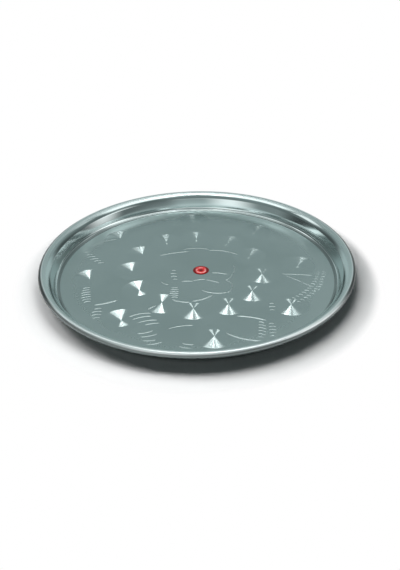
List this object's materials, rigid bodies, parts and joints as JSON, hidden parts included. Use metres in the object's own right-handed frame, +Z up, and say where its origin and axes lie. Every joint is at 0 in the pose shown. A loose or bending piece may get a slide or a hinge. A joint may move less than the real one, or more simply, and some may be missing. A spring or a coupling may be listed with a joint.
{
  "type": "round serving tray",
  "caption": "Round pressed steel serving tray with a flat engraved base, a steep wall, a flared flange and a rolled rim over a wire ring.",
  "frame": {"origin": "middle of the underside of the flat base, on the table that the tray stands on", "axes": "+Z up along the tray's axis, +Y away from the viewer of the picture, +X to their right"},
  "size_m": [0.4, 0.4, 0.025],
  "materials": {
    "satin_steel": "satin, with brushed spots and fine engraving",
    "drawn_wire": "plain drawn wire",
    "red_label_film": "glossy printed film"
  },
  "bodies": {
    "root": {"tray_pan": "satin_steel", "rim_wire": "drawn_wire", "centre_label": "red_label_film"}
  },
  "joints": []
}
